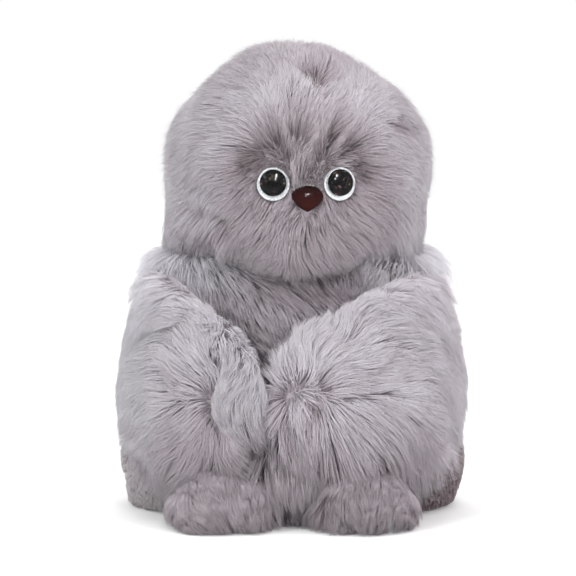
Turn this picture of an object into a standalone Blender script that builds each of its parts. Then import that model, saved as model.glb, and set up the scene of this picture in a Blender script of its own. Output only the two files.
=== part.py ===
"""A sitting plush owl in long-pile faux fur, with its wings folded over its belly.

Every stuffed piece is a cover, as thick as its cloth and standing pile together, round a core of
fibrefill. The head sits on a ball of fibrefill in the neck, the wings are sewn to the sloping side
seams and the feet hang from a seam above the toes. Eyes and beak are safety pieces, each held by a
post through the cloth and a washer behind it. The owl looks along -Y and stands on Z = 0.
"""

import math

import bmesh
import bpy
from mathutils import Matrix, Vector

mm = 0.001

# Driving dimensions, measured to the tips of the pile
body_height = 147 * mm
body_half_width = 93 * mm
body_half_depth = 70 * mm
head_height = 103 * mm
head_half_width = 71 * mm
head_half_depth = 63 * mm
chin_drop = 12 * mm
# The head is fuller on the owl's left side at mid height
head_lean = 3.5 * mm
head_turn_at_rest = math.radians(7)

# How far the head nods each way, and the room that its cones leave for that
nod_limit = math.radians(6)
nod_room = math.radians(1)

# Cloth and pile
body_pile = 11 * mm
wing_pile = 7 * mm
foot_pile = 6 * mm
face_pile = 7 * mm
seat_step = 2.5 * mm
backing = 2 * mm

# Clearances
seat_gap = 0.3 * mm
limb_gap = 0.6 * mm
overrun = 5 * mm
least_half_size = 0.6 * mm

# Each row of a profile is its height, half width, front half depth and back half depth
body_shares = [
    (0.000, 0.88, 0.84, 0.88),
    (0.035, 0.955, 0.93, 0.955),
    (0.180, 1.00, 1.00, 1.00),
    (0.310, 0.95, 1.02, 1.00),
    (0.520, 0.865, 0.98, 0.98),
    (0.710, 0.81, 0.84, 0.93),
    (0.870, 0.795, 0.69, 0.86),
    (0.935, 0.765, 0.62, 0.80),
    (1.000, 0.62, 0.49, 0.68),
]
head_shares = [
    (0.000, 0.86, 1.00, 0.82),
    (0.030, 0.94, 1.05, 0.91),
    (0.085, 0.975, 1.07, 0.96),
    (0.200, 0.985, 1.05, 0.99),
    (0.380, 1.00, 1.00, 1.00),
    (0.560, 0.94, 0.92, 0.94),
    (0.720, 0.79, 0.77, 0.80),
    (0.850, 0.585, 0.57, 0.60),
    (0.940, 0.38, 0.37, 0.39),
    (0.985, 0.22, 0.21, 0.22),
    (1.000, 0.06, 0.06, 0.06),
]
chin_reach_share = 0.30
chin_sharpness = 5

# Neck ball, and the radius out to which the head's underside is a cone
neck_ball_radius = 26 * mm
neck_groove_radius = 63 * mm

# The short plush of the seat reaches this high behind a front edge that leans back
seat_height_share = 0.32
seat_front_share = 0.93
seat_lean_share = 1.0

# Base panel and the pellet pouch that stands on it
base_margin = 6 * mm
base_thickness = 3 * mm
pouch_height = 24 * mm
pouch_half_width = 50 * mm
pouch_half_depth = 36 * mm

# Wings. Angles go round the belly, from its middle at 0 to the side at 90
wing_root_angle = math.radians(97)
left_tip_angle = math.radians(-7)
right_tip_angle = math.radians(9.5)
wing_half_chord = 46 * mm
wing_half_thickness = 14 * mm
# Each row is the spine's height on the body, the half chord, the half thickness, and how far the
# spine lies out of the body as a share of that thickness
wing_shares = [
    (0.590, 0.86, 0.80, 0.06),
    (0.590, 0.95, 0.87, 0.12),
    (0.575, 0.97, 0.95, 0.34),
    (0.540, 0.89, 1.00, 0.50),
    (0.490, 0.76, 1.00, 0.60),
    (0.450, 0.64, 0.95, 0.62),
]
wing_fullness = 3.2
turning_gap_radius = 5 * mm
slope_step_share = 0.02

# Feet, whose seam lies above and behind the toes
foot_spread = 38 * mm
foot_half_width = 25 * mm
foot_height_share = 0.23
foot_length = 46 * mm
foot_reach = 22 * mm
foot_sole_cut = 0.5 * mm
# Each row is the half width and the height, from the heel to the toes
foot_shares = [(0.90, 0.98), (1.00, 1.00), (1.02, 0.90), (0.96, 0.72)]
foot_fullness = 2.8
foot_height = foot_height_share * body_height

# Face disc, eyes and beak, on the front of the head
face_radius = 47 * mm
face_height = 28 * mm
eye_spread = 18.4 * mm
eye_height = 28.5 * mm
eye_splay = math.radians(13)
eye_droop = math.radians(-3)
eye_radius = 8.0 * mm
eye_dome_height = 5.4 * mm
eye_rim_height = 1.0 * mm
pupil_radius = 6.7 * mm
pupil_thickness = 0.8 * mm
# The foil disc is loose on the post and sags
iris_radius = 8.4 * mm
iris_thickness = 0.8 * mm
iris_sag = 0.8 * mm
post_radius = 2 * mm
post_length = 11 * mm
washer_radius = 7 * mm
washer_thickness = 1.4 * mm
washer_collar_radius = 3.6 * mm
washer_collar_height = 1.6 * mm
beak_half_width = 8.5 * mm
beak_half_height = 6.8 * mm
beak_depth = 7.5 * mm
beak_height = 19.5 * mm
beak_droop = math.radians(8)
# The beak's outline from its top round one side to its tip, as shares of its half width and height
beak_outline_shares = [
    (0.00, 0.96),
    (0.50, 0.88),
    (0.88, 0.52),
    (1.00, 0.12),
    (0.78, -0.36),
    (0.36, -0.82),
    (0.00, -1.04),
]

# Mesh fineness
body_segments = 24
body_rings = 16
head_rings = 18
limb_segments = 18
core_segments = 16
core_rings = 12
ball_segments = 24
small_segments = 24

pile_colour = (0.43, 0.40, 0.43)
face_colour = (0.36, 0.32, 0.36)
sole_colour = (0.25, 0.21, 0.23)
fill_colour = (0.85, 0.84, 0.82)
pouch_colour = (0.75, 0.70, 0.60)


def clear_scene():
    for thing in list(bpy.data.objects):
        bpy.data.objects.remove(thing)


def make_collection(name):
    made = bpy.data.collections.new(name)
    bpy.context.scene.collection.children.link(made)
    return made


def make_material(name, colour, roughness, metallic=0.0, transmission=0.0):
    made = bpy.data.materials.new(name)
    made.use_nodes = True
    shader = made.node_tree.nodes["Principled BSDF"]
    shader.inputs["Base Color"].default_value = (*colour, 1.0)
    shader.inputs["Roughness"].default_value = roughness
    shader.inputs["Metallic"].default_value = metallic
    shader.inputs["Transmission Weight"].default_value = transmission
    made.diffuse_color = (*colour, 1.0)
    return made


def make_pivot(name, place, turn=0.0):
    """An empty on a joint's axis, which the pieces of one moving body hang from."""
    pivot = bpy.data.objects.new(name, None)
    pivot.location = place
    pivot.rotation_euler = (0.0, 0.0, turn)
    owl.objects.link(pivot)
    return pivot


def add_piece(name, mesh_data, material, pivot=None):
    """A sub-part of the owl, from a bmesh in the owl's own frame."""
    piece = object_from(name, mesh_data, pivot, owl)
    piece.data.materials.append(material)
    return piece


def add_cutter(name, mesh_data, pivot=None):
    cutter = object_from(name, mesh_data, pivot, cutters)
    cutter.hide_render = True
    cutter.display_type = "WIRE"
    return cutter


def object_from(name, mesh_data, pivot, collection):
    mesh_data.normal_update()
    bmesh.ops.recalc_face_normals(mesh_data, faces=mesh_data.faces)
    if pivot:
        bmesh.ops.translate(mesh_data, verts=mesh_data.verts, vec=-pivot.location)
    mesh = bpy.data.meshes.new(name)
    mesh_data.to_mesh(mesh)
    mesh_data.free()
    mesh.shade_smooth()
    mesh.set_sharp_from_angle(angle=math.radians(40))
    made = bpy.data.objects.new(name, mesh)
    made.parent = pivot
    collection.objects.link(made)
    return made


def boolean(piece, operation, others):
    for other in others:
        modifier = piece.modifiers.new(other.name, "BOOLEAN")
        modifier.operation = operation
        modifier.object = other


def cut(piece, *others):
    boolean(piece, "DIFFERENCE", others)


def keep_inside(piece, *others):
    boolean(piece, "INTERSECT", others)


def join(piece, *others):
    boolean(piece, "UNION", others)


def curve_through(before, start, end, after, share):
    """The value at a share of the way from start to end, on a smooth curve through all four."""
    bend = 2 * before - 5 * start + 4 * end - after
    twist = 3 * (start - end) + after - before
    return start + share * (end - before + share * (bend + share * twist)) / 2


def row_at(rows, place):
    """The row at a place counted in rows, such as 1.5, on smooth curves through the table."""
    low = min(int(place), len(rows) - 2)
    picked = [rows[min(max(low + step, 0), len(rows) - 1)] for step in (-1, 0, 1, 2)]
    return [curve_through(*values, place - low) for values in zip(*picked)]


def row_at_height(rows, height_share):
    """The row of a profile at a height, which is the rows' first value."""
    low = 0
    while low < len(rows) - 2 and rows[low + 1][0] < height_share:
        low += 1
    share = (height_share - rows[low][0]) / (rows[low + 1][0] - rows[low][0])
    return row_at(rows, low + min(max(share, 0.0), 1.0))


def stretched(half_size, grow):
    """A half size as a vector, longer or shorter by grow, but never turned round."""
    return half_size.normalized() * max(half_size.length + grow, least_half_size)


def swept_form(station, segments, rings, grow=0.0, fullness=None):
    """A closed form through rings of points, from a sphere whose rings follow the stations.

    station(share) gives a ring's centre, its half sizes across, outwards and inwards as vectors,
    and the way along. With a fullness the ends are round. Without one they are flat.
    """
    form = bmesh.new()
    bmesh.ops.create_uvsphere(form, u_segments=segments, v_segments=rings, radius=1)
    for vertex in form.verts:
        ring = round((math.asin(max(-1.0, min(1.0, vertex.co.z))) / math.pi + 0.5) * rings)
        angle = math.atan2(vertex.co.y, vertex.co.x)
        if fullness:
            share = (1 - math.cos(math.pi * ring / rings)) / 2
            size = (1 - abs(2 * share - 1) ** fullness) ** (1 / fullness)
        else:
            share = min(max((ring - 1) / (rings - 2), 0.0), 1.0)
            size = 0.0 if ring in (0, rings) else 1.0
        centre, across, outwards, inwards, along = station(share)
        depth = outwards if math.sin(angle) < 0 else inwards
        vertex.co = (
            centre
            + along * grow * (2 * share - 1)
            + stretched(across, grow) * math.cos(angle) * size
            + stretched(depth, grow) * abs(math.sin(angle)) * size
        )
    # The same diagonals in a hollow and its core keep the gap between them even
    bmesh.ops.triangulate(form, faces=form.faces, quad_method="FIXED")
    return form


def upright_station(rows, base, height, half_width, half_depth, lean=0.0):
    """Stations of a form that stands on base, from its profile's rows."""

    def station(share):
        level, width, front, back = row_at(rows, share * (len(rows) - 1))
        centre = Vector((lean * math.sin(math.pi * level), 0, base + level * height))
        across = Vector((width * half_width, 0, 0))
        return (
            centre,
            across,
            Vector((0, -front * half_depth, 0)),
            Vector((0, back * half_depth, 0)),
            Vector((0, 0, 1)),
        )

    return station


body_station = upright_station(
    body_shares, 0.0, body_height, body_half_width, body_half_depth
)
plain_head_station = upright_station(
    head_shares, body_height, head_height, head_half_width, head_half_depth, head_lean
)


def body_form(grow=0.0, segments=body_segments, rings=body_rings):
    return swept_form(body_station, segments, rings, grow)


def head_form(grow=0.0, segments=body_segments, rings=head_rings):
    """The head, whose front hangs down over the chest as a chin."""
    form = swept_form(plain_head_station, segments, rings, grow)
    for vertex in form.verts:
        out = math.hypot(vertex.co.x, vertex.co.y)
        level = (vertex.co.z - body_height) / head_height
        fade = max(0.0, 1 - level / chin_reach_share)
        if vertex.co.y < 0:
            forward = -vertex.co.y / out
            vertex.co.z -= chin_drop * forward**chin_sharpness * fade**2
    return form


def round_bar(radius, start, end, segments=small_segments):
    """A cylinder from one point to another."""
    form = bmesh.new()
    bmesh.ops.create_cone(
        form,
        cap_ends=True,
        segments=segments,
        radius1=radius,
        radius2=radius,
        depth=(end - start).length,
    )
    turn = (end - start).to_track_quat("Z", "Y").to_matrix().to_4x4()
    form.transform(Matrix.Translation((start + end) / 2) @ turn)
    return form


def ball(radius, centre, segments=ball_segments):
    form = bmesh.new()
    bmesh.ops.create_uvsphere(form, u_segments=segments, v_segments=segments // 2, radius=radius)
    bmesh.ops.translate(form, verts=form.verts, vec=centre)
    return form


def turned(profile, segments=small_segments):
    """A solid turned about Z from points (radius, height), from the axis round to the axis."""
    form = bmesh.new()
    verts = [form.verts.new((radius, 0, height)) for radius, height in profile]
    edges = [form.edges.new(pair) for pair in zip(verts, verts[1:])]
    bmesh.ops.spin(
        form,
        geom=verts + edges,
        axis=(0, 0, 1),
        cent=(0, 0, 0),
        dvec=(0, 0, 0),
        angle=2 * math.pi,
        steps=segments,
        use_merge=True,
    )
    bmesh.ops.remove_doubles(form, verts=form.verts, dist=least_half_size / 1000)
    return form


def front_reach(shares, height_share, half_width, half_depth, across):
    """How far forward a profile reaches at a height, beside its middle."""
    width, front = row_at_height(shares, height_share)[1:3]
    sideways = across / (width * half_width)
    return front * half_depth * math.sqrt(1 - sideways**2)


def face_frame(across, height, splay, droop, depth):
    """A frame on the face, under the pile: Z points out of the head, and Y up the face.

    across is the distance from the middle of the face, which is negative on the owl's right.
    depth is how far the frame lies below the tips of the pile.
    """
    level = height / head_height
    off_middle = across - head_lean * math.sin(math.pi * level)
    reach = front_reach(head_shares, level, head_half_width, head_half_depth, off_middle)
    turn = Matrix.Rotation(splay, 4, "Z") @ Matrix.Rotation(math.pi / 2 + droop, 4, "X")
    tip = Matrix.Translation((across, -reach, body_height + height))
    return tip @ turn @ Matrix.Translation((0, 0, -depth))


def in_frame(form, frame):
    form.transform(frame)
    return form


clear_scene()
owl = make_collection("Plush owl")
cutters = make_collection("Cutters")

pile = make_material("Long grey pile", pile_colour, 0.9)
face_fur = make_material("Face pile", face_colour, 0.9)
sole = make_material("Short grey plush", sole_colour, 0.85)
fibrefill = make_material("Fibrefill", fill_colour, 0.95)
pouch_cloth = make_material("Pellet pouch cloth", pouch_colour, 0.8)
clear_plastic = make_material("Clear plastic", (0.95, 0.96, 0.97), 0.03, transmission=1.0)
black_plastic = make_material("Black plastic", (0.008, 0.008, 0.01), 0.12)
silver_foil = make_material("Silver foil", (0.78, 0.79, 0.80), 0.3, metallic=0.9)
washer_plastic = make_material("White washer plastic", (0.8, 0.8, 0.78), 0.45)
amber_plastic = make_material("Amber brown plastic", (0.075, 0.018, 0.010), 0.12)

# The neck: a ball of fibrefill between two shallow cones, which leave room for the nod
neck_place = Vector((0, 0, body_height))
neck_pivot = make_pivot("neck_pivot", neck_place)
head_pivot = make_pivot("head_pivot", neck_place, head_turn_at_rest)
cone_rise = math.tan(nod_limit / 2 + nod_room / 2)

add_piece("neck_stuffing", ball(neck_ball_radius, neck_place), fibrefill, neck_pivot)
neck_socket = add_cutter("neck_socket", ball(neck_ball_radius + limb_gap, neck_place))


def neck_cone(reach, upwards):
    """What lies on the far side of the neck's cone, seen from the head or from the body."""
    rim_height = cone_rise * reach
    far = rim_height + body_half_depth
    points = [(0, 0), (reach, rim_height), (reach, -far), (0, -far)]
    form = turned(points)
    if not upwards:
        bmesh.ops.scale(form, verts=form.verts, vec=(1, 1, -1))
    bmesh.ops.translate(form, verts=form.verts, vec=neck_place)
    return form


above_body = add_cutter("above_body", neck_cone(2 * body_half_width, upwards=False))
below_head = add_cutter("below_head", neck_cone(neck_groove_radius, upwards=True))


def base_oval(grow, low, high):
    """A plate with the outline of the body's underside."""
    _, across, outwards, inwards, _ = body_station(0.0)
    form = bmesh.new()
    bmesh.ops.create_cone(
        form, cap_ends=True, segments=2 * body_segments, radius1=1, radius2=1, depth=2
    )
    for vertex in form.verts:
        depth = outwards if vertex.co.y < 0 else inwards
        vertex.co = (
            stretched(across, grow) * vertex.co.x
            + stretched(depth, grow) * abs(vertex.co.y)
            + Vector((0, 0, low if vertex.co.z < 0 else high))
        )
    return form


def seat_block(grow):
    """What is seat and not belly: all that is low, behind a front face that leans back."""
    top = seat_height_share * body_height
    form = bmesh.new()
    bmesh.ops.create_cube(form, size=2)
    for vertex in form.verts:
        high = vertex.co.z > 0
        front = -seat_front_share * body_half_depth + (seat_lean_share * top if high else 0)
        vertex.co.x *= 2 * body_half_width
        vertex.co.y = 2 * body_half_depth if vertex.co.y > 0 else front - grow
        vertex.co.z = top + grow if high else -overrun
    return form


def pouch_form(grow=0.0):
    """The flattened bag of pellets on the base panel."""
    floor = base_thickness + seat_gap

    def station(share):
        return (
            Vector((0, 0, floor + share * pouch_height)),
            Vector((pouch_half_width, 0, 0)),
            Vector((0, -pouch_half_depth, 0)),
            Vector((0, pouch_half_depth, 0)),
            Vector((0, 0, 1)),
        )

    return swept_form(station, core_segments, 8, grow, fullness=2.4)


def make_body():
    """The pear-shaped body: base panel, pile cover, seat of short plush, pellet pouch and core."""
    add_piece("base_panel", base_oval(-base_margin, 0.0, base_thickness), sole)
    cover = add_piece("body_cover", body_form(), pile)
    hollow = add_cutter("body_hollow", body_form(-body_pile, core_segments, core_rings))
    base_seat = add_cutter(
        "base_seat", base_oval(seat_gap - base_margin, -overrun, base_thickness + seat_gap)
    )
    well = add_cutter(
        "base_well", base_oval(-body_pile - base_margin, -overrun, body_pile + overrun)
    )
    seat_room = add_cutter("seat_room", seat_block(seat_gap))
    cut(cover, above_body, neck_socket, hollow, base_seat, well, seat_room)

    seat_form = body_form(-seat_step)
    bmesh.ops.translate(seat_form, verts=seat_form.verts, vec=(0, 0, -seat_step))
    seat = add_piece("seat_cover", seat_form, sole)
    seat_outline = add_cutter("seat_outline", seat_block(0.0))
    keep_inside(seat, seat_outline)
    cut(seat, hollow, base_seat, well)

    add_piece("bean_pouch", pouch_form(), pouch_cloth)
    pouch_room = add_cutter("pouch_room", pouch_form(seat_gap))
    core_form = body_form(-body_pile - seat_gap, core_segments, core_rings)
    core = add_piece("body_stuffing", core_form, fibrefill)
    core_foot = add_cutter(
        "core_foot",
        base_oval(
            -body_pile - base_margin - seat_gap, base_thickness + 2 * seat_gap, body_pile + overrun
        ),
    )
    join(core, core_foot)
    cut(core, neck_socket, pouch_room)


def make_head():
    """The head: pile cover with a round opening for the face disc, and its core."""
    face_centre = Vector((0, 0, body_height + face_height))
    far_front = face_centre - Vector((0, 2 * head_half_depth, 0))

    cover = add_piece("head_cover", head_form(), pile, head_pivot)
    hollow_form = head_form(-body_pile, core_segments, core_rings)
    hollow = add_cutter("head_hollow", hollow_form, head_pivot)
    opening = add_cutter(
        "face_opening", round_bar(face_radius + seat_gap, face_centre, far_front), head_pivot
    )
    cut(cover, hollow, below_head, neck_socket, opening)

    disc = add_piece("face_panel", head_form(), face_fur, head_pivot)
    outline = add_cutter("face_outline", round_bar(face_radius, face_centre, far_front), head_pivot)
    behind_form = head_form(-face_pile - backing, core_segments, core_rings)
    behind = add_cutter("behind_face", behind_form, head_pivot)
    keep_inside(disc, outline)
    cut(disc, behind, below_head, neck_socket)

    core_form = head_form(-body_pile - seat_gap, core_segments, core_rings)
    core = add_piece("head_stuffing", core_form, fibrefill, head_pivot)
    cut(core, below_head, neck_socket)
    return disc, core


def washer_profile(bore):
    return [
        (bore, 0),
        (washer_radius, 0),
        (washer_radius, -washer_thickness),
        (washer_collar_radius, -washer_thickness),
        (washer_collar_radius, -washer_thickness - washer_collar_height),
        (bore, -washer_thickness - washer_collar_height),
        (bore, 0),
    ]


def make_washer(name, frame, disc, core, reach):
    """The washer behind the cloth, the post's hole in the disc and the hollow in the core."""
    behind = frame @ Matrix.Translation((0, 0, -backing - seat_gap))
    bore = post_radius + seat_gap
    washer = in_frame(turned(washer_profile(bore)), behind)
    add_piece(name, washer, washer_plastic, head_pivot)

    deep = frame @ Vector((0, 0, -reach - seat_gap))
    seat = frame @ Vector((0, 0, -backing))
    outside = frame @ Vector((0, 0, overrun))
    wide = washer_radius + seat_gap
    hole = add_cutter(name + "_hole", round_bar(bore, deep, outside), head_pivot)
    recess = add_cutter(name + "_recess", round_bar(wide, deep, seat), head_pivot)
    cut(disc, hole, recess)
    room = add_cutter(name + "_room", round_bar(wide, deep, outside), head_pivot)
    cut(core, room)


def make_eye(side, across, disc, core):
    """A safety eye: clear dome, black pupil moulded with its post, silver iris ring and washer."""
    splay = math.copysign(eye_splay, across)
    frame = face_frame(across, eye_height, splay, eye_droop, face_pile)
    socket_floor = frame @ Vector((0, -iris_sag / 2, 0))
    socket_mouth = frame @ Vector((0, -iris_sag / 2, 2 * face_pile))
    socket = add_cutter(
        side + "_eye_socket",
        round_bar(iris_radius + iris_sag / 2 + seat_gap, socket_floor, socket_mouth),
        head_pivot,
    )
    cut(disc, socket)

    bore = post_radius + iris_sag + seat_gap
    iris_low = seat_gap
    iris_high = iris_low + iris_thickness
    iris = [
        (bore, iris_low),
        (iris_radius, iris_low),
        (iris_radius, iris_high),
        (bore, iris_high),
        (bore, iris_low),
    ]
    sagged = frame @ Matrix.Translation((0, -iris_sag, 0))
    add_piece(side + "_eye_iris", in_frame(turned(iris), sagged), silver_foil, head_pivot)

    pupil_low = iris_high + seat_gap
    pupil_high = pupil_low + pupil_thickness
    pupil = [
        (0, pupil_low - post_length),
        (post_radius, pupil_low - post_length),
        (post_radius, pupil_low),
        (pupil_radius, pupil_low),
        (pupil_radius, pupil_high),
        (0, pupil_high),
    ]
    add_piece(side + "_eye_pupil", in_frame(turned(pupil), frame), black_plastic, head_pivot)

    steps = 6
    lens = [(0, pupil_high + seat_gap), (pupil_radius + seat_gap, pupil_high + seat_gap)]
    lens += [(pupil_radius + seat_gap, pupil_low), (eye_radius, pupil_low)]
    rim = pupil_low + eye_rim_height
    crown = eye_dome_height - eye_rim_height
    for step in range(steps + 1):
        turn = math.pi / 2 * step / steps
        lens.append((eye_radius * math.cos(turn), rim + crown * math.sin(turn)))
    add_piece(side + "_eye_lens", in_frame(turned(lens), frame), clear_plastic, head_pivot)

    make_washer(side + "_eye_washer", frame, disc, core, post_length - pupil_low)


def beak_reach(angle):
    """How far the beak's outline is from its middle, at an angle from straight up."""
    turn = abs(angle) / math.pi * (len(beak_outline_shares) - 1)
    outward, upward = row_at(beak_outline_shares, min(turn, len(beak_outline_shares) - 1))
    return outward * beak_half_width, upward * beak_half_height


def beak_form(grow=0.0):
    """The beak in its own frame: a domed kite with a flat back at Z = 0."""
    form = bmesh.new()
    bmesh.ops.create_uvsphere(form, u_segments=small_segments, v_segments=10, radius=1)
    for vertex in form.verts:
        out = math.hypot(vertex.co.x, vertex.co.y)
        angle = math.atan2(vertex.co.x, vertex.co.y) if out else 0.0
        across, up = beak_reach(angle)
        across = math.copysign(across + grow, angle)
        up += math.copysign(grow, up)
        height = max(vertex.co.z, 0.0) ** 0.8 * beak_depth
        spread = min(1.0, out**0.85) if vertex.co.z > 0 else out
        vertex.co = Vector((across * spread, up * spread, height + seat_gap))
    return form


def make_beak(disc, core):
    frame = face_frame(0.0, beak_height, 0.0, beak_droop, face_pile)
    beak = add_piece("beak", in_frame(beak_form(), frame), amber_plastic, head_pivot)
    post = add_cutter(
        "beak_post",
        round_bar(
            post_radius,
            frame @ Vector((0, 0, seat_gap - post_length)),
            frame @ Vector((0, 0, beak_depth / 2)),
        ),
        head_pivot,
    )
    join(beak, post)

    outline = [beak_reach(math.pi * step / 12) for step in range(13)]
    outline += [(-x, y) for x, y in reversed(outline[1:-1])]
    socket_form = bmesh.new()
    floor = []
    for x, y in outline:
        wide = math.copysign(seat_gap, x) if x else 0.0
        floor.append(socket_form.verts.new((x + wide, y + math.copysign(seat_gap, y), 0)))
    face = socket_form.faces.new(floor)
    raised = bmesh.ops.extrude_face_region(socket_form, geom=[face])
    lifted = [item for item in raised["geom"] if isinstance(item, bmesh.types.BMVert)]
    bmesh.ops.translate(socket_form, verts=lifted, vec=(0, 0, 2 * face_pile))
    socket = add_cutter("beak_socket", in_frame(socket_form, frame), head_pivot)
    cut(disc, socket)
    make_washer("beak_washer", frame, disc, core, post_length)


def belly_point(side, angle, height_share):
    _, width, front, back = row_at_height(body_shares, height_share)
    depth = front if math.cos(angle) > 0 else back
    return Vector(
        (
            side * width * body_half_width * math.sin(angle),
            -depth * body_half_depth * math.cos(angle),
            height_share * body_height,
        )
    )


def wing_station(side, tip_angle):
    """Stations from the side seam round the belly to the wing's tip."""

    def station(share):
        level, chord, thickness, lift = row_at(wing_shares, share * (len(wing_shares) - 1))
        angle = wing_root_angle + (tip_angle - wing_root_angle) * share
        here = belly_point(side, angle, level)
        higher = belly_point(side, angle, level + slope_step_share)
        lower = belly_point(side, angle, level - slope_step_share)
        onward = belly_point(side, angle - slope_step_share, level)
        up = (higher - lower).normalized()
        along = (onward - here).normalized()
        out = up.cross(along).normalized() * side
        half_thickness = thickness * wing_half_thickness
        centre = here + out * half_thickness * lift
        return (
            centre,
            up * chord * wing_half_chord,
            out * half_thickness,
            -out * half_thickness,
            along,
        )

    return station


def make_wing(name, side, tip_angle):
    """A wing that hugs the belly: its cover is open at the seam, where the core went in."""
    low, high = belly_point(side, wing_root_angle, 0.31), belly_point(side, wing_root_angle, 0.87)
    pivot = make_pivot(name + "_wing_pivot", (low + high) / 2)
    station = wing_station(side, tip_angle)

    cover = add_piece(
        name + "_wing_cover",
        swept_form(station, limb_segments, 14, 0.0, wing_fullness),
        pile,
        pivot,
    )
    body_room = add_cutter(name + "_wing_body_room", body_form(limb_gap), pivot)
    hollow = add_cutter(
        name + "_wing_hollow",
        swept_form(station, core_segments, 12, -wing_pile, wing_fullness),
        pivot,
    )
    lining = add_cutter(name + "_wing_lining", body_form(limb_gap + backing), pivot)
    cut(hollow, lining)
    seam = station(0.0)
    turning_gap = add_cutter(
        name + "_wing_turning_gap",
        round_bar(
            turning_gap_radius,
            seam[0] - seam[4] * overrun,
            seam[0] + seam[4] * (wing_pile + overrun),
        ),
        pivot,
    )
    cut(cover, body_room, hollow, turning_gap)

    core = add_piece(
        name + "_wing_stuffing",
        swept_form(station, core_segments, 12, -wing_pile - seat_gap, wing_fullness),
        fibrefill,
        pivot,
    )
    core_room = add_cutter(
        name + "_wing_core_room", body_form(limb_gap + backing + seat_gap), pivot
    )
    cut(core, core_room)


def foot_station(side):
    """Stations from the heel, inside the body's outline, to the toes."""

    def station(share):
        width, height = row_at(foot_shares, share * (len(foot_shares) - 1))
        heel = body_half_depth + foot_reach - foot_length
        half_height = height * (foot_height / 2 + foot_sole_cut)
        return (
            Vector((side * foot_spread, -heel - share * foot_length, half_height)),
            Vector((width * foot_half_width, 0, 0)),
            Vector((0, 0, half_height)),
            Vector((0, 0, -half_height)),
            Vector((0, -1, 0)),
        )

    return station


def make_foot(name, side):
    """A stubby foot, cut flat underneath, whose cover is open against the body."""
    reach = front_reach(
        body_shares, foot_height / body_height, body_half_width, body_half_depth, foot_spread
    )
    seam = Vector((side * foot_spread, -reach - limb_gap, foot_height + limb_gap))
    pivot = make_pivot(name + "_foot_pivot", seam)
    station = foot_station(side)

    def floored(form, floor):
        for vertex in form.verts:
            vertex.co.z = max(vertex.co.z - foot_sole_cut, floor)
        return form

    cover = add_piece(
        name + "_foot_cover",
        floored(swept_form(station, limb_segments, 10, 0.0, foot_fullness), 0.0),
        pile,
        pivot,
    )
    body_room = add_cutter(name + "_foot_body_room", body_form(limb_gap), pivot)
    hollow = add_cutter(
        name + "_foot_hollow",
        floored(swept_form(station, core_segments, 8, -foot_pile, foot_fullness), foot_pile),
        pivot,
    )
    cut(cover, body_room, hollow)
    core = add_piece(
        name + "_foot_stuffing",
        floored(
            swept_form(station, core_segments, 8, -foot_pile - seat_gap, foot_fullness),
            foot_pile + seat_gap,
        ),
        fibrefill,
        pivot,
    )
    core_room = add_cutter(name + "_foot_core_room", body_form(limb_gap + seat_gap), pivot)
    cut(core, core_room)


make_body()
face_disc, head_core = make_head()
make_eye("left", eye_spread, face_disc, head_core)
make_eye("right", -eye_spread, face_disc, head_core)
make_beak(face_disc, head_core)
make_wing("left", 1, left_tip_angle)
make_wing("right", -1, right_tip_angle)
make_foot("left", 1)
make_foot("right", -1)
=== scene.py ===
"""A sitting plush owl in long grey faux fur, in a pale studio.

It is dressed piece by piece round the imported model, in metres, and the owl looks along -Y.
"""

import math

import bmesh
import bpy
import numpy as np
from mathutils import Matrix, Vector


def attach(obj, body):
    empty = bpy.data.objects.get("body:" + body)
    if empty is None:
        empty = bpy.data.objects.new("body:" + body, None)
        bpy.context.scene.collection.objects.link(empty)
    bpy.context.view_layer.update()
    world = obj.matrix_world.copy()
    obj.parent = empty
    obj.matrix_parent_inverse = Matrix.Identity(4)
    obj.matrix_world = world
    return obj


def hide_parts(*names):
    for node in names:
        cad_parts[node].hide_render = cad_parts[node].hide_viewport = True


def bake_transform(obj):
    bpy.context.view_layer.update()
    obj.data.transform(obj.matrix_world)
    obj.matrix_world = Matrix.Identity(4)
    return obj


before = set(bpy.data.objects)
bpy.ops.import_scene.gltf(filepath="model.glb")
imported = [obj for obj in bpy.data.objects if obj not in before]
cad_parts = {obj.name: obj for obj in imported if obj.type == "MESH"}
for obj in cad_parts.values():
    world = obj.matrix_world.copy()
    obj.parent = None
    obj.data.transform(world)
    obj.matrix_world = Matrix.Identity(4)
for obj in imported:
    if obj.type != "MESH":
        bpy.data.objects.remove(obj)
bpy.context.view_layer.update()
mm = 0.001

# Studio: a sheet of white paper that fades into a white room, and large soft lamps, the left
# one a little cooler than the right. The camera looks at the owl's face from just above it.
camera_distance = 1.45
camera_rise = math.radians(5)
picture_width_at_owl = 0.303
aim = Vector((-2.5 * mm, -20 * mm, 118 * mm))
paper_width = 6.0
fade_start = 0.15
fade_end = 0.9
cool_light = (0.965, 1.0, 0.985)
warm_light = (1.0, 0.95, 0.965)
plain_light = (1.0, 1.0, 1.0)

camera_data = bpy.data.cameras.new("photo_camera")
camera_data.lens = camera_data.sensor_width * camera_distance / picture_width_at_owl
camera = bpy.data.objects.new("photo_camera", camera_data)
sight = Vector((0, -math.cos(camera_rise), math.sin(camera_rise)))
camera.location = aim + camera_distance * sight
camera.rotation_euler = (math.pi / 2 - camera_rise, 0, 0)
bpy.context.scene.collection.objects.link(camera)
bpy.context.scene.camera = camera
bpy.context.scene.view_settings.view_transform = "Standard"
# The lenses and the beak: only they mirror the two small lamps
polished_parts = bpy.data.collections.new("polished_parts")


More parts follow.
